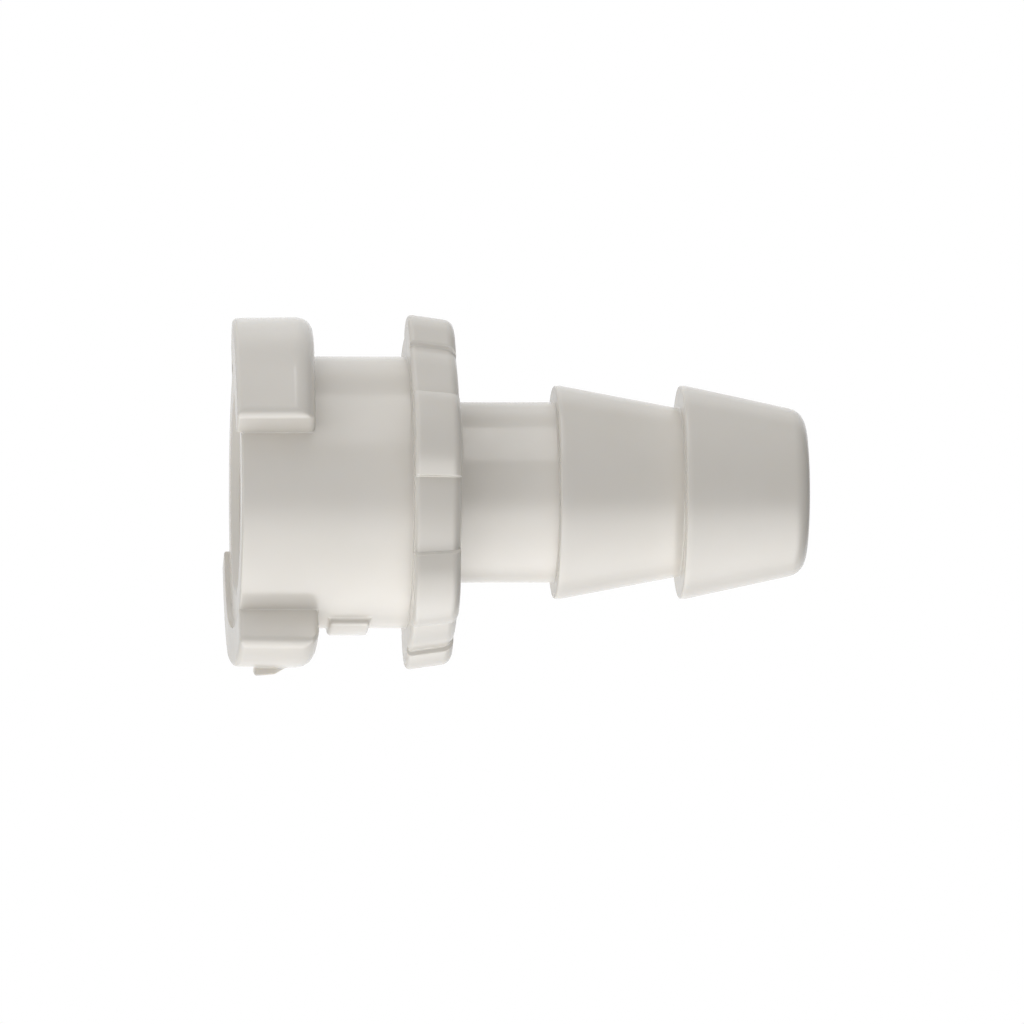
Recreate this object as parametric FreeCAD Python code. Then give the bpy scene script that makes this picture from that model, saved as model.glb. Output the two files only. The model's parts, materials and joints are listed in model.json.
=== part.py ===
import FreeCAD, Part
import math
import os

# Hose connector for a blood pressure cuff: one injection moulding in warm white plastic.
# It stands on the ends of its two cam lugs, which lie just proud of the socket's rim, and the origin is on the
# axis between them.
# The axis is +Z: socket, six-lobed finger grip, straight neck, then two hose barbs and the tip.
# The two cam lugs lie on the X axis. All lengths are millimetres and all angles are degrees.

# Socket
socket_diameter = 7.46
socket_length = 4.68
rim_chamfer = 0.08
seal_bore_diameter = 5.20
seal_bore_depth = 4.50
mouth_chamfer = 0.25
bore_floor_angle = 60.0

# Cam lugs at the mouth, which the mating collar hooks and draws in as it turns.
# Widths are from the rim to the cam face. From its middle to its entry end a lug stands proud of the rim by the
# mouth step, and from its middle to its stop end it slopes back to the rim.
lug_count = 2
lug_height = 1.09
lug_span = 95.2
lug_entry_width = 1.97
lug_stop_width = 2.20
mouth_step = 0.15
lug_corner_round = 0.25
lug_cam_round = 0.45
lug_mouth_round = 0.13

# Stub of the moulding gate, left where it was snapped off one lug
gate_angle = -12.0
gate_start = 0.53
gate_length = 0.95
gate_width = 0.80
gate_height = 0.25
gate_top_length = 0.54
gate_top_fall = 0.05

# Low locating pad on the socket wall behind the same lug
pad_angle = -24.3
pad_span = 30.6
pad_start = 2.52
pad_length = 1.08
pad_height = 0.20

# Finger grip
grip_thickness = 1.28
grip_rise = 0.67
grip_draft = 8.0
grip_front_round = 0.36
grip_back_chamfer = 0.09
lobe_count = 6
lobe_span = 32.0
lobe_step = 0.16
lobe_crown = 0.36
lobe_turn = -8.4

# Neck, hose barbs and tip
neck_diameter = 4.96
neck_length = 2.79
neck_fillet = 0.18
barb_count = 2
barb_length = 3.46
barb_rise = 0.45
barb_land = 0.18
barb_fall = 0.62
tip_fall = 0.71
tip_round = 0.50
passage_diameter = 3.00
tip_chamfer = 0.15

# Depth by which a raised feature is rooted in the wall that carries it
root_depth = 0.30

# Places worked out from the sizes above
axis = FreeCAD.Vector(0, 0, 1)
origin = FreeCAD.Vector(0, 0, 0)
socket_radius = socket_diameter / 2
seal_radius = seal_bore_diameter / 2
neck_radius = neck_diameter / 2
passage_radius = passage_diameter / 2
lug_radius = socket_radius + lug_height
grip_back = socket_length
grip_front = grip_back + grip_thickness
grip_floor_radius = socket_radius + grip_rise
barb_start = grip_front + neck_length
tip_z = barb_start + barb_count * barb_length


def point(radius, z):
    return FreeCAD.Vector(radius, 0, z)


def arc(centre_radius, centre_z, radius, start_degrees, end_degrees):
    """An arc in the section plane; its angles are measured from outward, towards +Z."""
    steps = [start_degrees, (start_degrees + end_degrees) / 2, end_degrees]
    places = []
    for degrees in steps:
        turn = math.radians(degrees)
        places.append(point(centre_radius + radius * math.cos(turn), centre_z + radius * math.sin(turn)))
    return Part.Arc(places[0], places[1], places[2]).toShape()


def end_round(radius, z, slope, corner):
    """The arc that rounds the edge of a flat end at z, where a side of that slope reaches the radius."""
    lean = math.radians(slope)
    centre_radius = radius + corner * math.tan(lean) - corner / math.cos(lean)
    return arc(centre_radius, z - corner, corner, slope, 90)


def section_face(path):
    """A face in the section plane from corner points and arcs, joined by straight edges."""
    edges = []
    place = None
    first = None
    for item in path:
        start = item.Vertexes[0].Point if isinstance(item, Part.Shape) else item
        end = item.Vertexes[-1].Point if isinstance(item, Part.Shape) else item
        if place is not None and place.distanceToPoint(start) > 1e-7:
            edges.append(Part.makeLine(place, start))
        if isinstance(item, Part.Shape):
            edges.append(item)
        if first is None:
            first = start
        place = end
    if place.distanceToPoint(first) > 1e-7:
        edges.append(Part.makeLine(place, first))
    return Part.Face(Part.Wire(edges))


def turned(path, angle=360.0):
    """The section turned about the Z axis."""
    return section_face(path).revolve(origin, axis, angle)


def socket_body():
    """The socket's outer wall, closed, from its mouth into the grip."""
    return turned([
        point(0, 0),
        point(socket_radius - rim_chamfer, 0),
        point(socket_radius, rim_chamfer),
        point(socket_radius, grip_front - grip_thickness / 2),
        point(0, grip_front - grip_thickness / 2),
    ])


def cam_slope():
    """The angle of the cam face along a lug, whose far side from the mouth narrows to its entry end."""
    reach = 2 * lug_radius * math.sin(math.radians(lug_span / 2))
    return math.degrees(math.atan2(lug_stop_width - lug_entry_width, reach))


def outer_edges(lug, upright):
    """The edges on a lug's outer face: the upright ones at its two ends, or the long ones around it."""
    found = []
    for edge in lug.Edges:
        halfway = (edge.FirstParameter + edge.LastParameter) / 2
        place = edge.valueAt(halfway)
        on_face = abs(math.hypot(place.x, place.y) - lug_radius) < 1e-4
        if on_face and (abs(edge.tangentAt(halfway).z) > 0.9) == upright:
            found.append(edge)
    return found


def mouth_slope():
    """The angle at which the stop half of a lug slopes back to the rim."""
    reach = lug_radius * math.sin(math.radians(lug_span / 2))
    return math.degrees(math.atan2(mouth_step, reach))


def cam_lug():
    """One lug on +X: a slice of a ring, cut to its cam face and its mouth slope, its outer edges rounded."""
    inner = socket_radius - root_depth
    middle_width = (lug_stop_width + lug_entry_width) / 2
    blank = turned([
        point(inner, 0),
        point(socket_radius, 0),
        point(socket_radius, -mouth_step),
        point(lug_radius, -mouth_step),
        point(lug_radius, 2 * middle_width),
        point(inner, 2 * middle_width),
    ], lug_span)
    blank.rotate(origin, axis, -lug_span / 2)
    side = 4 * lug_radius
    along_lug = FreeCAD.Vector(1, 0, 0)
    beyond = Part.makeBox(side, side, side, FreeCAD.Vector(-side / 2, -side / 2, 0))
    beyond.rotate(origin, along_lug, -cam_slope())
    beyond.translate(FreeCAD.Vector(0, 0, middle_width))
    under = Part.makeBox(side, side, side, FreeCAD.Vector(-side / 2, -side, -side))
    under.rotate(origin, along_lug, -mouth_slope())
    under.translate(FreeCAD.Vector(0, 0, -mouth_step))
    lug = blank.cut(beyond).cut(under)

    limit = 0.45 * lug_height
    cam_edges = [edge for edge in outer_edges(lug, False) if edge.CenterOfMass.z > middle_width / 2]
    lug = lug.makeFillet(min(lug_cam_round, limit), cam_edges)
    lug = lug.makeFillet(min(lug_corner_round, limit), outer_edges(lug, True))
    mouth_edges = [edge for edge in outer_edges(lug, False) if edge.CenterOfMass.z < middle_width / 2]
    return lug.makeFillet(min(lug_mouth_round, limit), mouth_edges)


def gate_stub():
    """A short wedge on the lug's outer face, steep towards the mouth and tapered towards the barbs."""
    inner = lug_radius - root_depth
    face = section_face([
        point(inner, gate_start),
        point(lug_radius + gate_height, gate_start),
        point(lug_radius + gate_height - gate_top_fall, gate_start + gate_top_length),
        point(lug_radius - gate_top_fall, gate_start + gate_length),
        point(inner, gate_start + gate_length),
    ])
    stub = face.extrude(FreeCAD.Vector(0, gate_width, 0))
    stub.translate(FreeCAD.Vector(0, -gate_width / 2, 0))
    stub.rotate(origin, axis, gate_angle)
    return stub


def locating_pad():
    """A low rectangle raised on the socket wall."""
    pad = turned([
        point(socket_radius - root_depth, pad_start),
        point(socket_radius + pad_height, pad_start),
        point(socket_radius + pad_height, pad_start + pad_length),
        point(socket_radius - root_depth, pad_start + pad_length),
    ], pad_span)
    pad.rotate(origin, axis, pad_angle - pad_span / 2)
    return pad


def grip_disc(radius):
    """A disc of the grip's thickness, widest at its chamfered back edge and rounded at its front edge."""
    lean = math.tan(math.radians(grip_draft))
    chamfer = min(grip_back_chamfer, 0.15 * grip_thickness)
    corner = min(grip_front_round, 0.7 * grip_thickness)
    return turned([
        point(0, grip_back),
        point(radius - chamfer, grip_back),
        point(radius - chamfer * lean, grip_back + chamfer),
        end_round(radius - grip_thickness * lean, grip_front, grip_draft, corner),
        point(0, grip_front),
    ])


def grip():
    """A round floor with six round-topped lobes, each a disc cut to its own share of the circle."""
    shoulder_radius = grip_floor_radius + lobe_step
    apex_radius = shoulder_radius + lobe_crown
    half = math.radians(lobe_span / 2)
    chord = shoulder_radius * math.sin(half)
    rise = apex_radius - shoulder_radius * math.cos(half)
    crown_radius = (chord ** 2 + rise ** 2) / (2 * rise)
    reach = 2 * apex_radius
    share = Part.Face(Part.makePolygon([
        FreeCAD.Vector(0, 0, grip_back),
        FreeCAD.Vector(reach * math.cos(half), -reach * math.sin(half), grip_back),
        FreeCAD.Vector(reach * math.cos(half), reach * math.sin(half), grip_back),
        FreeCAD.Vector(0, 0, grip_back),
    ])).extrude(FreeCAD.Vector(0, 0, grip_thickness))
    disc = grip_disc(crown_radius)
    disc.translate(FreeCAD.Vector(apex_radius - crown_radius, 0, 0))
    lobe = disc.common(share)
    lobes = []
    for index in range(lobe_count):
        copy = lobe.copy()
        copy.rotate(origin, axis, lobe_turn + index * 360.0 / lobe_count)
        lobes.append(copy)
    return grip_disc(grip_floor_radius).multiFuse(lobes)


def hose_stem():
    """The neck with its fillet to the grip, the barbs and the rounded tip, closed."""
    crest_radius = neck_radius + barb_rise
    path = [
        point(0, grip_front - grip_thickness / 2),
        point(neck_radius + neck_fillet, grip_front - grip_thickness / 2),
        arc(neck_radius + neck_fillet, grip_front + neck_fillet, neck_fillet, 270, 180),
    ]
    for index in range(barb_count):
        start = barb_start + index * barb_length
        foot = neck_radius if index == 0 else crest_radius - barb_fall
        path.append(point(foot, start))
        path.append(point(crest_radius, start))
        path.append(point(crest_radius, start + barb_land))
    end_radius = crest_radius - tip_fall
    corner = min(tip_round, 0.9 * (end_radius - passage_radius - tip_chamfer))
    cone = math.degrees(math.atan2(tip_fall, barb_length - barb_land))
    path.append(end_round(end_radius, tip_z, cone, corner))
    path.append(point(0, tip_z))
    return turned(path)


def through_bore():
    """The sealing bore with its mouth chamfer and conical floor, and the air passage to the tip."""
    floor_height = (seal_radius - passage_radius) / math.tan(math.radians(bore_floor_angle))
    return turned([
        point(0, 0),
        point(seal_radius + mouth_chamfer, 0),
        point(seal_radius, mouth_chamfer),
        point(seal_radius, seal_bore_depth),
        point(passage_radius, seal_bore_depth + floor_height),
        point(passage_radius, tip_z - tip_chamfer),
        point(passage_radius + tip_chamfer, tip_z),
        point(0, tip_z),
    ])


def connector_body():
    """The whole moulding as one solid."""
    pieces = [grip(), hose_stem(), gate_stub(), locating_pad()]
    for index in range(lug_count):
        lug = cam_lug()
        lug.rotate(origin, axis, index * 360.0 / lug_count)
        pieces.append(lug)
    body = socket_body().multiFuse(pieces).cut(through_bore()).removeSplitter()
    body.translate(FreeCAD.Vector(0, 0, mouth_step))
    return body


os.makedirs("parts", exist_ok=True)
body = connector_body()
print("solids", len(body.Solids), "valid", body.isValid(), "volume", round(body.Volume, 2))
body.exportStep("parts/connector_body.step")
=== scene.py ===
import json
import math
from types import SimpleNamespace

import bmesh
import bpy
from bpy.props import FloatProperty, FloatVectorProperty, IntProperty, PointerProperty
from mathutils import Matrix, Vector


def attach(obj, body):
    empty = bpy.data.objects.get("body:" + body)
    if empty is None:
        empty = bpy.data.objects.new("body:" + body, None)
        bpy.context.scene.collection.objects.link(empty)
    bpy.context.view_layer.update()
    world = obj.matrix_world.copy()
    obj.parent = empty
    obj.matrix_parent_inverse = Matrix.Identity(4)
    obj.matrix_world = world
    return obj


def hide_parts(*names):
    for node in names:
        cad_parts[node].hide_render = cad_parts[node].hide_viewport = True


# Looks of the hose connector. The moulded body is modelled here once more, on the form and sizes of the solid
# in the frame, with finer steps and with the small rounds that a mould leaves on every edge.
# The connector stands on the ends of its lugs, and +Z runs along its axis to the tip of the stem. Heights in
# the sizes below are measured from the socket's rim.

bl_info = {
    "name": "Hose Connector",
    "version": (1, 0, 0),
    "blender": (4, 5, 0),
    "location": "View3D > Sidebar > Connector",
    "description": "Makes a moulded bayonet hose connector with a barbed stem, its plastic and its studio",
    "category": "Object",
}

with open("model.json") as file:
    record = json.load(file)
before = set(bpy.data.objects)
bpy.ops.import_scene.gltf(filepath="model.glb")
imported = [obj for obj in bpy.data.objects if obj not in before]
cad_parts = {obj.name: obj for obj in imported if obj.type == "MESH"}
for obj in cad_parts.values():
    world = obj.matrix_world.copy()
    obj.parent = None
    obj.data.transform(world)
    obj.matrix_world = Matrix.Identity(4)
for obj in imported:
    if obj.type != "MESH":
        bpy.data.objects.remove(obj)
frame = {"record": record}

MM = 0.001
BODY_NODE = "connector_body"
MOUNTS = {mount["name"]: mount for mount in frame["record"]["mounts"]}
SEAL_BORE = MOUNTS["socket_bore"]["dims"]
AIR_PASSAGE = MOUNTS["air_passage"]["dims"]
BUILT_IN = {"rna_type", "name"}

# How close two places are to count as one, and how far a search for faces and edges reaches past its bounds,
# in millimetres or radians
SAME = 0.001
NEAR = 0.01
PAST = 0.02

# Edges sharper than SHARP get a round, and faces that meet more bluntly than FLAT are one face, in radians
SHARP = math.radians(20.0)
FLAT = 0.1

# How much of an edge's direction points along the axis, or around it, where it counts as running that way
UPRIGHT = 0.9
AROUND = 0.7

# How much wider than asked a step around the axis may be, as a share
COLUMN_SLACK = 0.05

# The mouth step gets its round only where it is this many times as high as the round
LEAST_STEP = 2.5

# How pale the backdrop is in a reflection, by how far the reflection points along the axis to the tip, and by
# how far it points to the camera
BACKDROP_UPWARDS = [(-0.60, 0.30), (-0.12, 0.75), (-0.02, 0.75), (0.01, 1.0), (0.45, 0.85), (0.80, 0.15)]
BACKDROP_TO_CAMERA = [(-0.62, 1.0), (-0.25, 0.2)]

# How strong the light from all round is, by how far it comes from the side of the tip
FILL_UPWARDS = [(-1.0, 0.88), (-0.2, 1.0), (0.2, 0.88), (1.0, 0.12)]

# How bright the soft light is in a reflection, by how far the reflection points towards its middle
TOWARDS_SOFT_LIGHT = [(0.40, 0.0), (0.95, 1.0)]

# The soft panels round the connector: turn from the camera and tilt in degrees, width and height in metres,
# brightness, and whether the plastic reflects them
PANEL_DISTANCE = 0.30
PANELS = {
    "window": SimpleNamespace(turn=90.0, tilt=-4.0, width=0.32, height=0.30, glow=1.7, reflected=False),
    "card": SimpleNamespace(turn=-66.0, tilt=4.5, width=0.28, height=0.02, glow=3.5, reflected=True),
    "back_panel": SimpleNamespace(turn=180.0, tilt=0.0, width=0.30, height=0.30, glow=1.4, reflected=False),
}


def length(label, note, millimetres):
    """A length whose default is given in millimetres."""
    metres = millimetres * MM
    return FloatProperty(name=label, description=note, default=metres, min=0.0, precision=5, unit="LENGTH")


def angle(label, note, degrees):
    """An angle whose default is given in degrees."""
    return FloatProperty(name=label, description=note, default=math.radians(degrees), unit="ROTATION")


def factor(label, note, value):
    """A plain number from 0 to 1."""
    return FloatProperty(name=label, description=note, default=value, min=0.0, max=1.0, subtype="FACTOR")


def strength(label, note, value):
    """A brightness, where 1 is white."""
    return FloatProperty(name=label, description=note, default=value, min=0.0)


def count(label, note, value):
    """A whole number, at least 1."""
    return IntProperty(name=label, description=note, default=value, min=1)


def colour(label, note, value):
    """A linear colour."""
    return FloatVectorProperty(
        name=label,
        description=note,
        default=value,
        min=0.0,
        max=1.0,
        size=3,
        subtype="COLOR",
    )


class SocketSizes(bpy.types.PropertyGroup):
    """The bayonet socket with its lugs, pad and gate stub."""

    wall_radius: length("Wall radius", "Outside radius of the socket", 3.73)
    bore_radius: length("Bore radius", "Radius of the sealing bore", SEAL_BORE["r_mm"])
    bore_depth: length("Bore depth", "Depth of the sealing bore's wall from the rim", 4.50)
    mouth_chamfer: length("Mouth chamfer", "Chamfer at the mouth of the bore", 0.25)
    floor_angle: angle("Floor angle", "Slope of the bore's conical floor", 60.0)
    lug_count: count("Lugs", "Cam lugs around the mouth", 2)
    lug_span: angle("Lug span", "Angle that one lug covers", 95.2)
    lug_height: length("Lug height", "Height of a lug over the socket wall", 1.09)
    lug_entry_width: length("Lug entry width", "From the rim to the cam face at a lug's entry end", 1.97)
    lug_stop_width: length("Lug stop width", "From the rim to the cam face at a lug's stop end", 2.20)
    lug_draft: angle("Lug draft", "Draft of a lug's outer face, which is narrowest at the mouth", 1.1)
    mouth_step: length("Mouth step", "How far a lug's entry half stands proud of the rim", 0.15)
    pad_start: length("Pad start", "Distance of the locating pad from the rim", 2.52)
    pad_length: length("Pad length", "Length of the locating pad along the axis", 1.08)
    pad_height: length("Pad height", "Height of the locating pad over the wall", 0.20)
    pad_angle: angle("Pad angle", "Where the middle of the pad lies around the socket", -24.3)
    pad_span: angle("Pad span", "Angle that the pad covers", 30.6)
    gate_angle: angle("Gate angle", "Where the gate stub lies around the socket", -12.0)
    gate_span: angle("Gate span", "Angle that the gate stub covers", 9.5)
    gate_start: length("Gate start", "Distance of the gate stub from the rim", 0.53)
    gate_top: length("Gate top", "Length of the stub's top", 0.54)
    gate_length: length("Gate length", "Length of the gate stub along the axis", 0.87)
    gate_height: length("Gate height", "Height of the gate stub over the lug", 0.25)
    gate_fall: length("Gate fall", "How far the stub's top falls along its length", 0.05)


class GripSizes(bpy.types.PropertyGroup):
    """The lobed finger grip."""

    back: length("Grip back", "Height of the grip's back face over the rim", 4.68)
    thickness: length("Grip thickness", "Thickness of the grip", 1.28)
    floor_radius: length("Floor radius", "Radius of the grip between its lobes", 4.40)
    draft: angle("Draft", "Draft of the grip's side", 8.0)
    back_round: length("Back round", "Round of the grip's back edge", 0.13)
    front_round: length("Front round", "Round of the grip's front edge", 0.32)
    lobe_count: count("Lobes", "Lobes around the grip", 6)
    lobe_span: angle("Lobe span", "Angle that one lobe covers", 32.0)
    lobe_step: length("Lobe step", "Height of a lobe's edge over the floor", 0.16)
    lobe_crown: length("Lobe crown", "Height of a lobe's middle over its edge", 0.36)
    lobe_turn: angle("Lobe turn", "Where the first lobe lies around the grip", -8.4)


class StemSizes(bpy.types.PropertyGroup):
    """The neck, the hose barbs and the tip."""

    neck_radius: length("Neck radius", "Radius of the neck", 2.48)
    neck_length: length("Neck length", "Length of the neck", 2.79)
    neck_fillet: length("Neck fillet", "Fillet between the neck and the grip", 0.18)
    barb_count: count("Barbs", "Hose barbs on the stem", 2)
    barb_length: length("Barb length", "Distance from one barb to the next", 3.46)
    barb_rise: length("Barb rise", "Height of a barb's edge over the neck", 0.45)
    barb_land: length("Barb land", "Straight part behind a barb's edge", 0.18)
    barb_fall: length("Barb fall", "How far a barb narrows to the next", 0.62)
    tip_fall: length("Tip fall", "How far the last barb narrows to the tip", 0.71)
    tip_round: length("Tip round", "Round of the tip's outer edge", 0.54)
    passage_radius: length("Passage radius", "Radius of the air passage", AIR_PASSAGE["r_mm"])
    tip_chamfer: length("Tip chamfer", "Chamfer of the air passage at the tip", 0.15)


class EdgeSizes(bpy.types.PropertyGroup):
    """The rounds that the mould leaves on the edges, and how finely the body is divided."""

    lug_corner: length("Lug corner", "Round of a lug's upright outer edges", 0.25)
    lug_cam: length("Lug cam edge", "Round of a lug's outer edge on its cam side", 0.48)
    lug_mouth: length("Lug mouth edge", "Round of a lug's outer edge at the mouth", 0.15)
    lug_end: length("Lug end edge", "Round between a lug's end and its cam face", 0.16)
    rim: length("Rim edge", "Round of the rim, and of a lug's ends at the mouth", 0.08)
    step: length("Step edge", "Round of the small step between a lug and the rim", 0.03)
    crisp: length("Crisp edge", "Round of the other edges, such as the barbs' and the lobes'", 0.05)
    pad: length("Pad edge", "Round and foot fillet of the locating pad", 0.09)
    corner: length("Inside corner", "Fillet in the inside corners on the socket's wall", 0.03)
    stub: length("Stub edge", "Round of the gate stub's edges", 0.06)
    bore: length("Bore edge", "Round of the edges in the bore", 0.04)
    column: angle("Column", "Widest step around the axis", 4.0)
    steps: count("Steps", "Steps across a round", 4)


class PlasticFinish(bpy.types.PropertyGroup):
    """The moulded plastic."""

    base: colour("Base", "Colour of the plastic", (0.725, 0.696, 0.650))
    cloud: colour("Cloud", "Colour of the faint clouds in the plastic", (0.700, 0.668, 0.615))
    # The torn colour is partly the paler torn plastic and partly a painted highlight. It is raised so that
    # the gate stub, which lies in shade, reads bright.
    torn: colour("Torn", "Colour of the torn plastic at the gate", (0.930, 0.900, 0.885))
    glow: factor("Glow", "How far light spreads inside the plastic", 0.25)
    torn_glow: factor("Torn glow", "How far light spreads inside the thin torn plastic", 0.9)
    glow_depth: length("Glow depth", "Depth that light reaches inside the plastic", 0.5)
    smooth: factor("Smooth", "Roughness where the mould was polished", 0.15)
    dull: factor("Dull", "Roughness where the mould was dull", 0.24)
    torn_smooth: factor("Torn smooth", "Roughness of the smoothest torn plastic", 0.45)
    torn_dull: factor("Torn dull", "Roughness of the dullest torn plastic", 0.7)
    skin_depth: length("Skin depth", "Depth of the waves in the moulded skin", 0.006)
    torn_depth: length("Torn depth", "Depth of the waves in the torn plastic", 0.03)


class StudioSizes(bpy.types.PropertyGroup):
    """The camera, the floor and the lights."""

    turn: angle("Camera turn", "Where the camera lies around the connector's axis", 253.4)
    tilt: angle("Camera tilt", "How far the camera lies above the horizon", -4.0)
    look_height: length("Look height", "Height of the point that the camera looks at", 7.76)
    look_side: length("Look side", "Distance of that point from the axis, to the picture's foot", 0.54)
    distance: length("Distance", "Distance of the camera", 371.0)
    lens: FloatProperty(name="Lens", description="Focal length in millimetres", default=474.6, unit="CAMERA")
    floor_radius: length("Floor radius", "Radius of the floor", 400.0)
    floor_gap: length("Floor gap", "Gap under the connector", 0.01)
    floor_colour: colour("Floor", "Colour of the floor", (0.86, 0.86, 0.86))
    floor_glow: strength("Floor glow", "Light that the floor gives off", 0.40)
    fill: strength("Fill", "Strength of the light from all round", 0.85)
    fill_foot: strength("Fill foot", "How much less of it comes from the picture's foot", 0.15)
    soft_light: strength("Soft light", "Brightness of the soft light in reflections", 3.9)
    soft_turn: angle("Soft turn", "Where the soft light lies around the axis, from the camera", 68.0)


SETTINGS = {
    "socket": SocketSizes,
    "grip": GripSizes,
    "stem": StemSizes,
    "edges": EdgeSizes,
    "plastic": PlasticFinish,
    "studio": StudioSizes,
}


class ConnectorSettings(bpy.types.PropertyGroup):
    """Everything that can be set on the connector and its studio."""

    socket: PointerProperty(type=SocketSizes, name="Socket", description="The bayonet socket")
    grip: PointerProperty(type=GripSizes, name="Grip", description="The finger grip")
    stem: PointerProperty(type=StemSizes, name="Stem", description="The barbed stem")
    edges: PointerProperty(type=EdgeSizes, name="Edges", description="The rounds on the edges")
    plastic: PointerProperty(type=PlasticFinish, name="Plastic", description="The moulded plastic")
    studio: PointerProperty(type=StudioSizes, name="Studio", description="The camera, floor and lights")


def in_millimetres(group):
    """The values of a property group by name, with its lengths in millimetres."""
    values = {}
    for prop in group.bl_rna.properties:
        if prop.identifier in BUILT_IN:
            continue
        value = getattr(group, prop.identifier)
        if prop.type == "FLOAT" and prop.unit == "LENGTH":
            value = value / MM
        values[prop.identifier] = value
    return SimpleNamespace(**values)


# Places around the axis

def spot(radius, turn, height):
    """The point at a radius, a turn about the axis in radians, and a height."""
    return Vector((radius * math.cos(turn), radius * math.sin(turn), height))


def place_of(point):
    """The radius, turn and height of a point."""
    return math.hypot(point.x, point.y), math.atan2(point.y, point.x), point.z


def middle_of(edge):
    """The radius, turn and height of an edge's middle."""
    return place_of((edge.verts[0].co + edge.verts[1].co) / 2)


def turn_from(turn, centre):
    """The signed turn from a centre, at most half a turn either way."""
    return (turn - centre + math.pi) % math.tau - math.pi


def lug_centres(socket):
    """Where the middles of the lugs lie around the axis."""
    return [index * math.tau / socket.lug_count for index in range(socket.lug_count)]


def lobe_centres(grip):
    """Where the middles of the lobes lie around the axis."""
    return [grip.lobe_turn + index * math.tau / grip.lobe_count for index in range(grip.lobe_count)]


def nearest(turn, centres):
    """The signed turn from the nearest of several centres."""
    return min((turn_from(turn, centre) for centre in centres), key=abs)


# The section that is spun about the axis

def arc_points(centre, radius, start, end, steps):
    """Points of an arc in the section; its angles are degrees from outward, towards +Z."""
    points = []
    for index in range(steps + 1):
        degrees = start + (end - start) * index / steps
        turn = math.radians(degrees)
        points.append((centre[0] + radius * math.cos(turn), centre[1] + radius * math.sin(turn)))
    return points


def start_round(radius, height, slope, corner, steps):
    """The arc that rounds the edge of a flat start, where a side of that slope leaves from the radius."""
    centre_radius = radius - corner * (1 + math.sin(slope)) / math.cos(slope)
    return arc_points((centre_radius, height + corner), corner, -90.0, math.degrees(slope), steps)


def end_round(radius, height, slope, corner, steps):
    """The arc that rounds the edge of a flat end, where a side of that slope reaches the radius."""
    centre_radius = radius + corner * math.tan(slope) - corner / math.cos(slope)
    return arc_points((centre_radius, height - corner), corner, math.degrees(slope), 90.0, steps)


def outer_section(socket, grip, stem, steps):
    """The outside of the body from the mouth to the tip, as radius and height. Its large rounds have two more
    steps than the small rounds on the edges."""
    lug_ring = (socket.lug_entry_width + socket.lug_stop_width) / 2
    heights = [
        0.0,
        socket.gate_start,
        socket.gate_start + socket.gate_top,
        socket.gate_start + socket.gate_length,
        lug_ring,
        socket.pad_start,
        socket.pad_start + socket.pad_length,
        grip.back,
    ]
    section = [(socket.wall_radius, height) for height in heights]

    large = steps + 2
    front = grip.back + grip.thickness
    front_radius = grip.floor_radius - grip.thickness * math.tan(grip.draft)
    section += start_round(grip.floor_radius, grip.back, grip.draft, grip.back_round, large)
    section += end_round(front_radius, front, grip.draft, grip.front_round, large)

    fillet_centre = (stem.neck_radius + stem.neck_fillet, front + stem.neck_fillet)
    section += arc_points(fillet_centre, stem.neck_fillet, 270.0, 180.0, large)

    crest = stem.neck_radius + stem.barb_rise
    barb_start = front + stem.neck_length
    for index in range(stem.barb_count):
        start = barb_start + index * stem.barb_length
        foot = stem.neck_radius if index == 0 else crest - stem.barb_fall
        section.append((foot, start))
        section.append((crest, start))
        section.append((crest, start + stem.barb_land))
    tip = barb_start + stem.barb_count * stem.barb_length
    cone = math.atan2(stem.tip_fall, stem.barb_length - stem.barb_land)
    section += end_round(crest - stem.tip_fall, tip, cone, stem.tip_round, large)
    return section


def bore_section(socket, stem, tip):
    """The inside of the body from the tip back to the mouth, as radius and height."""
    floor_height = (socket.bore_radius - stem.passage_radius) / math.tan(socket.floor_angle)
    return [
        (stem.passage_radius + stem.tip_chamfer, tip),
        (stem.passage_radius, tip - stem.tip_chamfer),
        (stem.passage_radius, socket.bore_depth + floor_height),
        (socket.bore_radius, socket.bore_depth),
        (socket.bore_radius, socket.mouth_chamfer),
        (socket.bore_radius + socket.mouth_chamfer, 0.0),
    ]


def column_turns(socket, grip):
    """The turns at which a lug, a lobe, the pad or the gate stub begins or ends, in order."""
    turns = []
    spans = [(centre, socket.lug_span) for centre in lug_centres(socket)]
    spans += [(centre, grip.lobe_span) for centre in lobe_centres(grip)]
    spans += [(socket.pad_angle, socket.pad_span), (socket.gate_angle, socket.gate_span)]
    for centre, span in spans:
        turns.append((centre - span / 2) % math.tau)
        turns.append((centre + span / 2) % math.tau)
    return sorted(turns)


def spun_body(mesh, section, turns, column):
    """Spins the closed section about the axis, in steps that stop at each of the given turns."""
    corners = [mesh.verts.new(spot(radius, turns[0], height)) for radius, height in section]
    ring = [mesh.edges.new((corners[index - 1], corner)) for index, corner in enumerate(corners)]
    geometry = corners + ring
    for start, end in zip(turns, turns[1:] + [turns[0] + math.tau]):
        made = bmesh.ops.spin(
            mesh,
            geom=geometry,
            cent=(0, 0, 0),
            axis=(0, 0, 1),
            angle=end - start,
            steps=math.ceil((end - start) / column - COLUMN_SLACK),
        )
        geometry = made["geom_last"]
    bmesh.ops.remove_doubles(mesh, verts=mesh.verts[:], dist=SAME)
    bmesh.ops.recalc_face_normals(mesh, faces=mesh.faces[:])


def raise_faces(mesh, chosen, shift):
    """Extrudes the faces whose middle is chosen, and moves each of their corners out and up by its shift."""
    faces = [face for face in mesh.faces if chosen(*place_of(face.calc_center_median()))]
    edges = {edge for face in faces for edge in face.edges}
    made = bmesh.ops.extrude_face_region(mesh, geom=faces + list(edges))
    for vertex in made["geom"]:
        if isinstance(vertex, bmesh.types.BMVert):
            radius, turn, height = place_of(vertex.co)
            outwards, upwards = shift(radius, turn, height)
            vertex.co = spot(radius + outwards, turn, height + upwards)


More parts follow.
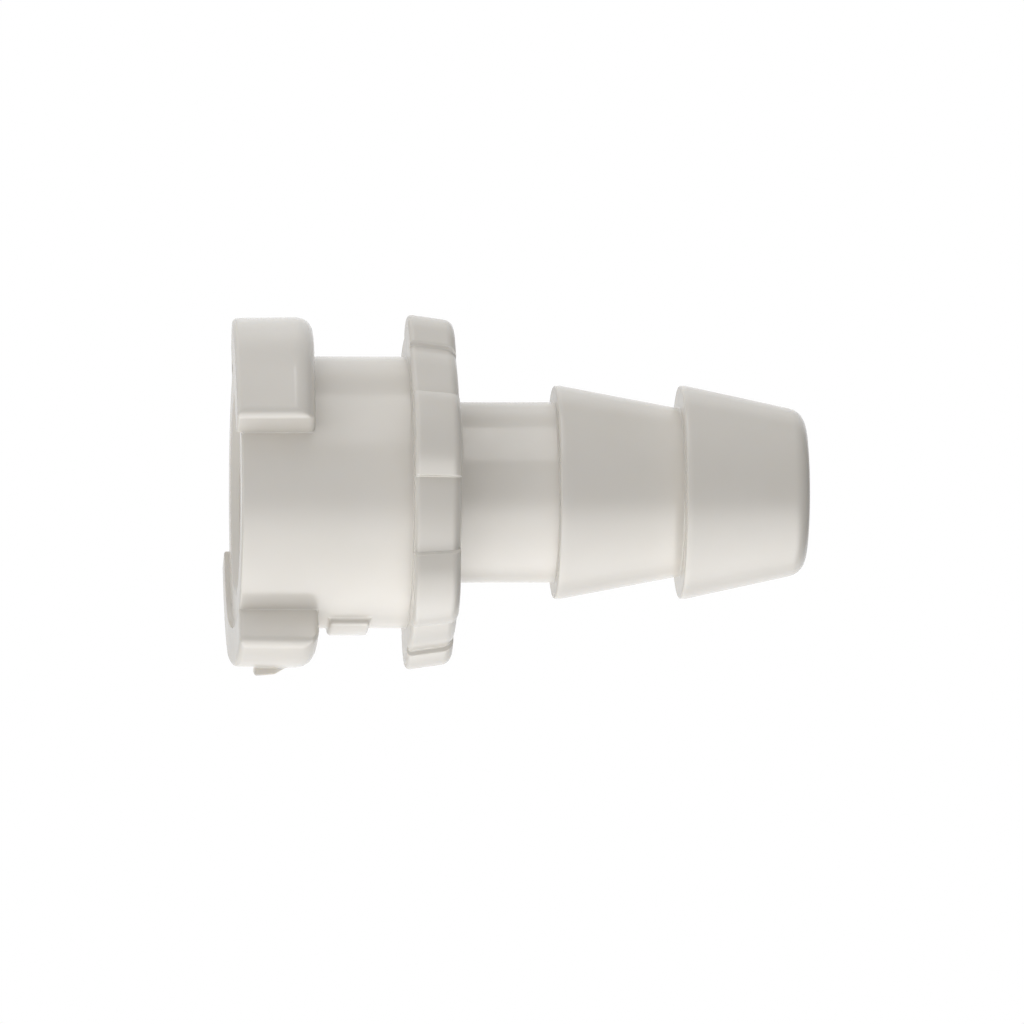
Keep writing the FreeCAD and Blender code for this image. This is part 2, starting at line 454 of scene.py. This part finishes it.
def add_lobes(mesh, grip):
    """Raises the lobes from the grip's side, each with a step at its ends and a round crown."""
    half = grip.lobe_span / 2
    shoulder = grip.floor_radius + grip.lobe_step
    apex = shoulder + grip.lobe_crown
    chord = shoulder * math.sin(half)
    rise = apex - shoulder * math.cos(half)
    crown_radius = (chord ** 2 + rise ** 2) / (2 * rise)
    crown_centre = apex - crown_radius
    inner = grip.floor_radius - grip.front_round - grip.thickness * math.tan(grip.draft) - PAST
    front = grip.back + grip.thickness

    for centre in lobe_centres(grip):

        def on_side(radius, turn, height):
            on_height = grip.back + SAME < height < front - SAME
            return on_height and radius > inner and abs(turn_from(turn, centre)) < half

        def to_crown(radius, turn, height):
            side = crown_centre * math.sin(turn_from(turn, centre))
            along = crown_centre * math.cos(turn_from(turn, centre))
            return along + math.sqrt(crown_radius ** 2 - side ** 2) - grip.floor_radius, 0.0

        raise_faces(mesh, on_side, to_crown)


def lug_radius_at(socket, height):
    """The radius of a lug's outer face, which leans in towards the mouth."""
    ring = (socket.lug_entry_width + socket.lug_stop_width) / 2
    return socket.wall_radius + socket.lug_height - (ring - height) * math.tan(socket.lug_draft)


def mouth_drop(socket, turn):
    """How far a lug stands proud of the rim: fully on its entry half, and sloped back on its stop half."""
    share = math.sin(nearest(turn, lug_centres(socket))) / math.sin(socket.lug_span / 2)
    return socket.mouth_step * min(1.0, max(0.0, 1.0 + share))


def add_lugs(mesh, socket):
    """Raises the lugs at the mouth, slopes their far side as a cam and steps their mouth side."""
    half = socket.lug_span / 2
    ring = (socket.lug_entry_width + socket.lug_stop_width) / 2
    reach = 2 * (socket.wall_radius + socket.lug_height) * math.sin(half)
    slope = (socket.lug_stop_width - socket.lug_entry_width) / reach
    for centre in lug_centres(socket):

        def on_wall(radius, turn, height):
            outside = radius > socket.wall_radius - PAST
            return outside and SAME < height < ring and abs(turn_from(turn, centre)) < half

        def to_lug(radius, turn, height):
            return lug_radius_at(socket, height) - radius, 0.0

        raise_faces(mesh, on_wall, to_lug)
        for vertex in mesh.verts:
            radius, turn, height = place_of(vertex.co)
            around = turn_from(turn, centre)
            on_cam = abs(height - ring) < SAME and radius > socket.wall_radius - PAST
            if on_cam and abs(around) < half + SAME:
                vertex.co.z -= slope * radius * math.sin(around)

        def at_mouth(radius, turn, height):
            on_lug = radius > socket.wall_radius + PAST and abs(turn_from(turn, centre)) < half + SAME
            return on_lug and abs(height) < SAME

        raise_faces(mesh, at_mouth, lambda radius, turn, height: (0.0, -mouth_drop(socket, turn)))
        bmesh.ops.remove_doubles(mesh, verts=mesh.verts[:], dist=SAME)
        # The lug's outer faces now reach past the plane of the rim, and their seam there is dissolved.
        flush = []
        for edge in mesh.edges:
            level = abs(edge.verts[0].co.z) < SAME and edge.calc_face_angle(0.0) < FLAT
            if level and at_mouth(*middle_of(edge)):
                flush.append(edge)
        bmesh.ops.dissolve_edges(mesh, edges=flush, use_verts=True)


def add_pad(mesh, socket):
    """Raises the low pad from the socket wall."""
    top = socket.pad_start + socket.pad_length

    def on_wall(radius, turn, height):
        on_height = socket.pad_start < height < top and radius > socket.wall_radius - PAST
        return on_height and abs(turn_from(turn, socket.pad_angle)) < socket.pad_span / 2

    raise_faces(mesh, on_wall, lambda radius, turn, height: (socket.pad_height, 0.0))


def add_gate_stub(mesh, socket):
    """Raises the stub of the gate from the lug's outer face, square towards the mouth and tapered behind."""
    top = socket.gate_start + socket.gate_top
    end = socket.gate_start + socket.gate_length

    def on_lug(radius, turn, height):
        outside = radius > lug_radius_at(socket, height) - PAST
        on_height = socket.gate_start < height < end
        return outside and on_height and abs(turn_from(turn, socket.gate_angle)) < socket.gate_span / 2

    def to_stub(radius, turn, height):
        if height < top - SAME:
            return socket.gate_height, 0.0
        if height < end - SAME:
            return socket.gate_height - socket.gate_fall, 0.0
        return 0.0, 0.0

    raise_faces(mesh, on_lug, to_stub)
    bmesh.ops.remove_doubles(mesh, verts=mesh.verts[:], dist=SAME)


def on_stub(socket, radius, turn, height):
    """Whether a place is on the gate stub, where the plastic was torn from the runner."""
    on_height = socket.gate_start - NEAR < height < socket.gate_start + socket.gate_length + NEAR
    high = radius > lug_radius_at(socket, height) + PAST
    return high and on_height and abs(turn_from(turn, socket.gate_angle)) < socket.gate_span / 2 + NEAR


def edge_round(edge, socket, grip, edges):
    """The round that the mould leaves on an edge, by where the edge lies."""
    radius, turn, height = middle_of(edge)
    along = (edge.verts[1].co - edge.verts[0].co).normalized()
    upright = abs(along.z) > UPRIGHT
    around = abs(along.dot(spot(1.0, turn + math.pi / 2, 0.0))) > AROUND
    by_lug = abs(nearest(turn, lug_centres(socket))) < socket.lug_span / 2 + NEAR
    by_gate = abs(turn_from(turn, socket.gate_angle)) < socket.gate_span / 2 + NEAR
    if radius < socket.bore_radius + socket.mouth_chamfer + PAST and height < grip.back:
        return edges.bore
    if height < socket.lug_stop_width + NEAR and by_lug and radius > socket.wall_radius + PAST:
        gate_end = socket.gate_start + socket.gate_length
        if by_gate and socket.gate_start - NEAR < height < gate_end + NEAR:
            return edges.stub
        on_cam_side = height > socket.lug_entry_width / 2
        if radius < lug_radius_at(socket, height) - PAST:
            return edges.lug_end if on_cam_side else edges.rim
        if upright:
            return edges.lug_corner
        return edges.lug_cam if on_cam_side else edges.lug_mouth
    if height < SAME and by_lug:
        return edges.step if mouth_drop(socket, turn) > LEAST_STEP * edges.step else 0.0
    if height < SAME:
        return edges.rim
    on_grip = grip.back - SAME < height < grip.back + grip.thickness + SAME
    if on_grip and radius > socket.wall_radius + NEAR and not around:
        return edges.crisp * abs(along.z)
    if height < grip.back + SAME and radius < socket.wall_radius + NEAR:
        on_pad = socket.pad_start - NEAR < height < socket.pad_start + socket.pad_length + NEAR
        return edges.pad if on_pad else edges.corner
    if height < grip.back - SAME:
        return edges.pad
    return edges.crisp


def rounded(mesh, name, sizes):
    """A mesh with each sharp edge rounded by its own radius, in the mesh's own units."""
    layer = mesh.edges.layers.float.new("bevel_weight_edge")
    widest = max(sizes.edges.lug_cam, sizes.edges.lug_corner)
    for edge in mesh.edges:
        if edge.calc_face_angle(0.0) > SHARP:
            edge[layer] = edge_round(edge, sizes.socket, sizes.grip, sizes.edges) / widest
    for face in mesh.faces:
        face.smooth = True
    plain = bpy.data.meshes.new(name)
    mesh.to_mesh(plain)
    model = bpy.data.objects.new(name, plain)
    bpy.context.scene.collection.objects.link(model)
    bevel = model.modifiers.new("Rounds", "BEVEL")
    bevel.width = widest
    bevel.segments = sizes.edges.steps
    bevel.limit_method = "WEIGHT"
    bevel.use_clamp_overlap = False
    weighted = model.modifiers.new("Shading", "WEIGHTED_NORMAL")
    weighted.keep_sharp = False
    graph = bpy.context.evaluated_depsgraph_get()
    done = bpy.data.meshes.new_from_object(
        model.evaluated_get(graph),
        preserve_all_data_layers=True,
        depsgraph=graph,
    )
    bpy.data.objects.remove(model)
    bpy.data.meshes.remove(plain)
    done.name = name
    return done


# Materials

def input_socket(group, label, kind, value):
    """A named input of a node group, with its default."""
    made = group.interface.new_socket(name=label, in_out="INPUT", socket_type=kind)
    made.default_value = value


def moulded_surface_group():
    """Faint clouds in the colour, uneven gloss, and the fine waviness and grain of a moulded skin."""
    group = bpy.data.node_groups.new("Moulded Surface", "ShaderNodeTree")
    input_socket(group, "Colour", "NodeSocketColor", (0.8, 0.8, 0.8, 1.0))
    input_socket(group, "Cloud Colour", "NodeSocketColor", (0.7, 0.7, 0.7, 1.0))
    input_socket(group, "Smooth Roughness", "NodeSocketFloat", 0.2)
    input_socket(group, "Dull Roughness", "NodeSocketFloat", 0.3)
    input_socket(group, "Cloud Scale", "NodeSocketFloat", 300.0)
    input_socket(group, "Wave Scale", "NodeSocketFloat", 700.0)
    input_socket(group, "Grain Scale", "NodeSocketFloat", 9000.0)
    input_socket(group, "Grain", "NodeSocketFloat", 0.1)
    group.interface.new_socket(name="Colour", in_out="OUTPUT", socket_type="NodeSocketColor")
    group.interface.new_socket(name="Roughness", in_out="OUTPUT", socket_type="NodeSocketFloat")
    group.interface.new_socket(name="Height", in_out="OUTPUT", socket_type="NodeSocketFloat")
    nodes, links = group.nodes, group.links
    given = nodes.new("NodeGroupInput")
    out = nodes.new("NodeGroupOutput")
    place = nodes.new("ShaderNodeTexCoord")

    def noise(scale, detail, roughness=0.5):
        """A noise on the piece's own coordinates, at the scale that the named input gives."""
        made = nodes.new("ShaderNodeTexNoise")
        made.inputs["Detail"].default_value = detail
        made.inputs["Roughness"].default_value = roughness
        links.new(place.outputs["Object"], made.inputs["Vector"])
        links.new(given.outputs[scale], made.inputs["Scale"])
        return made

    def spread(source, low, high):
        """A value's share of the way from low to high."""
        made = nodes.new("ShaderNodeMapRange")
        made.inputs["From Min"].default_value = low
        made.inputs["From Max"].default_value = high
        links.new(source, made.inputs["Value"])
        return made.outputs["Result"]

    clouds = spread(noise("Cloud Scale", 3.0).outputs["Fac"], 0.35, 0.7)
    waves = noise("Wave Scale", 2.0).outputs["Fac"]
    grain = noise("Grain Scale", 3.0, 0.6).outputs["Fac"]

    blend = nodes.new("ShaderNodeMix")
    blend.data_type = "RGBA"
    links.new(clouds, blend.inputs["Factor"])
    links.new(given.outputs["Colour"], blend.inputs["A"])
    links.new(given.outputs["Cloud Colour"], blend.inputs["B"])
    links.new(blend.outputs["Result"], out.inputs["Colour"])

    gloss = nodes.new("ShaderNodeMix")
    links.new(spread(waves, 0.3, 0.7), gloss.inputs["Factor"])
    links.new(given.outputs["Smooth Roughness"], gloss.inputs["A"])
    links.new(given.outputs["Dull Roughness"], gloss.inputs["B"])
    links.new(gloss.outputs["Result"], out.inputs["Roughness"])

    fine = nodes.new("ShaderNodeMath")
    fine.operation = "MULTIPLY_ADD"
    links.new(grain, fine.inputs[0])
    links.new(given.outputs["Grain"], fine.inputs[1])
    links.new(waves, fine.inputs[2])
    links.new(fine.outputs["Value"], out.inputs["Height"])
    return group


def with_alpha(value):
    """A colour with full alpha, as a node's colour input takes it."""
    return (*value, 1.0)


def plastic_material(name, surface, plastic, base, glow, depth, values):
    """A glossy, slightly translucent plastic over the shared moulded surface."""
    material = bpy.data.materials.new(name)
    material.use_nodes = True
    nodes, links = material.node_tree.nodes, material.node_tree.links
    shader = nodes["Principled BSDF"]
    skin = nodes.new("ShaderNodeGroup")
    skin.node_tree = surface
    skin.inputs["Colour"].default_value = with_alpha(base)
    skin.inputs["Cloud Colour"].default_value = with_alpha(plastic.cloud)
    for label, value in values.items():
        skin.inputs[label].default_value = value
    links.new(skin.outputs["Colour"], shader.inputs["Base Color"])
    links.new(skin.outputs["Roughness"], shader.inputs["Roughness"])
    relief = nodes.new("ShaderNodeBump")
    relief.inputs["Strength"].default_value = 1.0
    relief.inputs["Distance"].default_value = depth
    links.new(skin.outputs["Height"], relief.inputs["Height"])
    links.new(relief.outputs["Normal"], shader.inputs["Normal"])
    shader.inputs["IOR"].default_value = 1.5
    shader.inputs["Subsurface Weight"].default_value = glow
    shader.inputs["Subsurface Radius"].default_value = (1.0, 0.85, 0.65)
    shader.inputs["Subsurface Scale"].default_value = plastic.glow_depth * MM
    return material


def moulded_plastic(surface, plastic):
    """The plastic as the mould leaves it."""
    return plastic_material(
        "Moulded Plastic",
        surface,
        plastic,
        base=plastic.base,
        glow=plastic.glow,
        depth=plastic.skin_depth,
        values={
            "Smooth Roughness": plastic.smooth,
            "Dull Roughness": plastic.dull,
        },
    )


def torn_plastic_with_painted_highlight(surface, plastic):
    """The rough plastic where the gate was snapped off, in a colour that is partly the paler torn plastic and
    partly a painted highlight on the shaded stub.
    """
    return plastic_material(
        "Torn Plastic With Painted Highlight",
        surface,
        plastic,
        base=plastic.torn,
        glow=plastic.torn_glow,
        depth=plastic.torn_depth,
        values={
            "Smooth Roughness": plastic.torn_smooth,
            "Dull Roughness": plastic.torn_dull,
            "Wave Scale": 3000.0,
            "Grain": 0.5,
        },
    )


# The studio

def floor_material(studio):
    """Pale and matt for a camera above it, with the connector's shadow. It is clear for a camera below it and
    for all other rays, so it hides nothing, and the light from under it reaches the connector."""
    material = bpy.data.materials.new("Studio Floor")
    material.use_nodes = True
    nodes, links = material.node_tree.nodes, material.node_tree.links
    nodes.remove(nodes["Principled BSDF"])
    out = nodes["Material Output"]
    path = nodes.new("ShaderNodeLightPath")
    side = nodes.new("ShaderNodeNewGeometry")
    matt = nodes.new("ShaderNodeBsdfDiffuse")
    matt.inputs["Color"].default_value = with_alpha(studio.floor_colour)
    lit = nodes.new("ShaderNodeEmission")
    lit.inputs["Strength"].default_value = studio.floor_glow
    both = nodes.new("ShaderNodeAddShader")
    links.new(matt.outputs["BSDF"], both.inputs[0])
    links.new(lit.outputs["Emission"], both.inputs[1])
    clear = nodes.new("ShaderNodeBsdfTransparent")
    front = nodes.new("ShaderNodeMath")
    front.operation = "SUBTRACT"
    front.use_clamp = True
    links.new(path.outputs["Is Camera Ray"], front.inputs[0])
    links.new(side.outputs["Backfacing"], front.inputs[1])
    mix = nodes.new("ShaderNodeMixShader")
    links.new(front.outputs["Value"], mix.inputs["Fac"])
    links.new(clear.outputs["BSDF"], mix.inputs[1])
    links.new(both.outputs["Shader"], mix.inputs[2])
    links.new(mix.outputs["Shader"], out.inputs["Surface"])
    return material


def studio_world(studio):
    """White for the camera and through anything clear, and a fill for matt surfaces that is weaker from over
    the tip and from the foot of the picture. A reflection sees a pale backdrop, which darkens towards the
    camera and both ends of the axis, and a broad soft light in front of the connector and below it in the
    picture."""
    world = bpy.data.worlds.new("Studio")
    world.use_nodes = True
    nodes, links = world.node_tree.nodes, world.node_tree.links
    path = nodes.new("ShaderNodeLightPath")
    place = nodes.new("ShaderNodeTexCoord")

    def reach_along(direction):
        """How far a ray points along a direction."""
        along = nodes.new("ShaderNodeVectorMath")
        along.operation = "DOT_PRODUCT"
        along.inputs[1].default_value = direction
        links.new(place.outputs["Generated"], along.inputs[0])
        return along.outputs["Value"]

    def tone_along(direction, stops):
        """The brightness that the stops give by how far a ray points along a direction."""
        share = nodes.new("ShaderNodeMapRange")
        share.inputs["From Min"].default_value = -1.0
        links.new(reach_along(direction), share.inputs["Value"])
        tones = nodes.new("ShaderNodeValToRGB")
        tones.color_ramp.interpolation = "EASE"
        elements = tones.color_ramp.elements
        # A new ramp has two stops already.
        for index, (reach, tone) in enumerate(stops):
            stop = elements[index] if index < 2 else elements.new(1.0)
            stop.position = (reach + 1) / 2
            stop.color = (tone, tone, tone, 1.0)
        links.new(share.outputs["Result"], tones.inputs["Fac"])
        return tones.outputs["Color"]

    def combined(operation, *values):
        """A math node's result on other nodes' outputs and plain numbers."""
        made = nodes.new("ShaderNodeMath")
        made.operation = operation
        for index, value in enumerate(values):
            if isinstance(value, bpy.types.NodeSocket):
                links.new(value, made.inputs[index])
            else:
                made.inputs[index].default_value = value
        return made.outputs["Value"]

    def white(level=None):
        """White surroundings, at full brightness where no level is given."""
        made = nodes.new("ShaderNodeBackground")
        made.inputs["Color"].default_value = (1.0, 1.0, 1.0, 1.0)
        if level is not None:
            links.new(level, made.inputs["Strength"])
        return made.outputs["Background"]

    def chosen(share, first, second):
        """The second of two surroundings where the share is 1, and the first where it is 0."""
        made = nodes.new("ShaderNodeMixShader")
        links.new(share, made.inputs["Fac"])
        links.new(first, made.inputs[1])
        links.new(second, made.inputs[2])
        return made.outputs["Shader"]

    to_tip = Vector((0.0, 0.0, 1.0))
    to_camera = spot(1.0, studio.turn, 0.0)
    to_foot = spot(1.0, studio.turn + math.pi / 2, 0.0)
    to_soft_light = spot(1.0, studio.turn + studio.soft_turn, 0.0)

    backdrop_upwards = tone_along(to_tip, BACKDROP_UPWARDS)
    backdrop = combined("MULTIPLY", backdrop_upwards, tone_along(to_camera, BACKDROP_TO_CAMERA))
    soft_light = tone_along(to_soft_light, TOWARDS_SOFT_LIGHT)
    in_reflections = combined("MULTIPLY_ADD", soft_light, studio.soft_light, backdrop)
    from_foot = combined("SUBTRACT", studio.fill, reach_along(to_foot * studio.fill_foot))
    on_matt = combined("MULTIPLY", from_foot, tone_along(to_tip, FILL_UPWARDS))

    lit = chosen(path.outputs["Is Glossy Ray"], white(on_matt), white(in_reflections))
    in_view = combined("MAXIMUM", path.outputs["Is Camera Ray"], path.outputs["Is Transmission Ray"])
    seen = chosen(in_view, lit, white())
    links.new(seen, nodes["World Output"].inputs["Surface"])
    nodes.remove(nodes["Background"])
    bpy.context.scene.world = world


def add_floor(studio):
    """A wide round floor just under the ends of the lugs."""
    mesh = bmesh.new()
    bmesh.ops.create_circle(mesh, cap_ends=True, segments=96, radius=studio.floor_radius)
    bmesh.ops.translate(mesh, verts=mesh.verts[:], vec=(0, 0, -studio.floor_gap))
    bmesh.ops.recalc_face_normals(mesh, faces=mesh.faces[:])
    for face in mesh.faces:
        if face.normal.z < 0:
            face.normal_flip()
    data = bpy.data.meshes.new("studio_floor")
    mesh.to_mesh(data)
    mesh.free()
    floor = bpy.data.objects.new("studio_floor", data)
    floor.data.materials.append(floor_material(studio))
    bpy.context.scene.collection.objects.link(floor)


def add_panel_light(name, panel, aim, view):
    """A soft panel that faces the aim from its turn and tilt; its height runs along the connector's axis."""
    turn = view + math.radians(panel.turn)
    tilt = math.radians(panel.tilt)
    away = Vector((math.cos(turn) * math.cos(tilt), math.sin(turn) * math.cos(tilt), math.sin(tilt)))
    data = bpy.data.lights.new(name, "AREA")
    data.shape = "RECTANGLE"
    data.size = panel.width
    data.size_y = panel.height
    data.energy = panel.glow * panel.width * panel.height * math.pi
    light = bpy.data.objects.new(name, data)
    light.location = aim + away * PANEL_DISTANCE
    light.rotation_euler = away.to_track_quat("Z", "Y").to_euler()
    light.visible_camera = False
    light.visible_glossy = panel.reflected
    bpy.context.scene.collection.objects.link(light)


def add_camera(studio):
    """A long lens from the side, rolled so that the connector's axis lies along the picture."""
    aside = Vector((math.cos(studio.turn), math.sin(studio.turn), 0.0))
    axis = Vector((0.0, 0.0, 1.0))
    foot = Vector((-aside.y, aside.x, 0.0))
    back = aside * math.cos(studio.tilt) + axis * math.sin(studio.tilt)
    right = axis * math.cos(studio.tilt) - aside * math.sin(studio.tilt)
    up = back.cross(right)
    aim = axis * studio.look_height + foot * studio.look_side
    place = aim + back * studio.distance
    turn = Matrix((right, up, back)).transposed().to_4x4()
    data = bpy.data.cameras.new("Camera")
    data.lens = studio.lens
    data.sensor_width = 36.0
    data.clip_start = 0.001
    data.clip_end = 5.0
    camera = bpy.data.objects.new("Camera", data)
    camera.matrix_world = Matrix.Translation(place) @ turn
    bpy.context.scene.collection.objects.link(camera)
    bpy.context.scene.camera = camera
    return aim


# The operators and their panel

class CONNECTOR_OT_mould_body(bpy.types.Operator):
    """Makes the moulded body of the connector, in the place of the plain solid"""

    bl_idname = "connector.mould_body"
    bl_label = "Mould Body"

    def execute(self, context):
        settings = context.scene.hose_connector
        sizes = SimpleNamespace(
            socket=in_millimetres(settings.socket),
            grip=in_millimetres(settings.grip),
            stem=in_millimetres(settings.stem),
            edges=in_millimetres(settings.edges),
        )
        outer = outer_section(sizes.socket, sizes.grip, sizes.stem, sizes.edges.steps)
        section = outer + bore_section(sizes.socket, sizes.stem, outer[-1][1])
        turns = column_turns(sizes.socket, sizes.grip)

        mesh = bmesh.new()
        spun_body(mesh, section, turns, sizes.edges.column)
        add_lobes(mesh, sizes.grip)
        add_lugs(mesh, sizes.socket)
        add_pad(mesh, sizes.socket)
        add_gate_stub(mesh, sizes.socket)
        # The gate stub's faces get the torn plastic, whose pale colour is partly a painted highlight.
        for face in mesh.faces:
            torn = on_stub(sizes.socket, *place_of(face.calc_center_median()))
            face.material_index = 1 if torn else 0
        data = rounded(mesh, "moulded_body", sizes)
        mesh.free()
        data.transform(Matrix.Scale(MM, 4) @ Matrix.Translation((0.0, 0.0, sizes.socket.mouth_step)))
        if not data.polygons:
            raise RuntimeError("the moulded body came out empty")

        surface = moulded_surface_group()
        data.materials.append(moulded_plastic(surface, settings.plastic))
        data.materials.append(torn_plastic_with_painted_highlight(surface, settings.plastic))
        body = bpy.data.objects.new("moulded_body", data)
        context.scene.collection.objects.link(body)
        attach(body, "root")
        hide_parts(BODY_NODE)
        return {"FINISHED"}


class CONNECTOR_OT_build_studio(bpy.types.Operator):
    """Adds the floor, the lights, the white surroundings and the camera"""

    bl_idname = "connector.build_studio"
    bl_label = "Build Studio"

    def execute(self, context):
        studio = context.scene.hose_connector.studio
        aim = add_camera(studio)
        add_floor(studio)
        studio_world(studio)
        for name, panel in PANELS.items():
            add_panel_light(name, panel, aim, studio.turn)
        context.scene.view_settings.view_transform = "Standard"
        return {"FINISHED"}


class CONNECTOR_PT_panel(bpy.types.Panel):
    """Sizes, finish and makers of the hose connector"""

    bl_idname = "CONNECTOR_PT_panel"
    bl_label = "Hose Connector"
    bl_space_type = "VIEW_3D"
    bl_region_type = "UI"
    bl_category = "Connector"

    def draw(self, context):
        settings = context.scene.hose_connector
        for name in SETTINGS:
            box = self.layout.box()
            box.label(text=name.capitalize())
            group = getattr(settings, name)
            for prop in group.bl_rna.properties:
                if prop.identifier not in BUILT_IN:
                    box.prop(group, prop.identifier)
        for operator in OPERATORS:
            self.layout.operator(operator.bl_idname)


OPERATORS = [CONNECTOR_OT_mould_body, CONNECTOR_OT_build_studio]
CLASSES = [*SETTINGS.values(), ConnectorSettings, *OPERATORS, CONNECTOR_PT_panel]


def register():
    for item in CLASSES:
        bpy.utils.register_class(item)
    bpy.types.Scene.hose_connector = PointerProperty(type=ConnectorSettings)


def unregister():
    del bpy.types.Scene.hose_connector
    for item in reversed(CLASSES):
        bpy.utils.unregister_class(item)


def main():
    """Makes the connector and its studio."""
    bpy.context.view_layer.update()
    register()
    bpy.ops.connector.mould_body()
    bpy.ops.connector.build_studio()


if __name__ == "__main__":
    main()
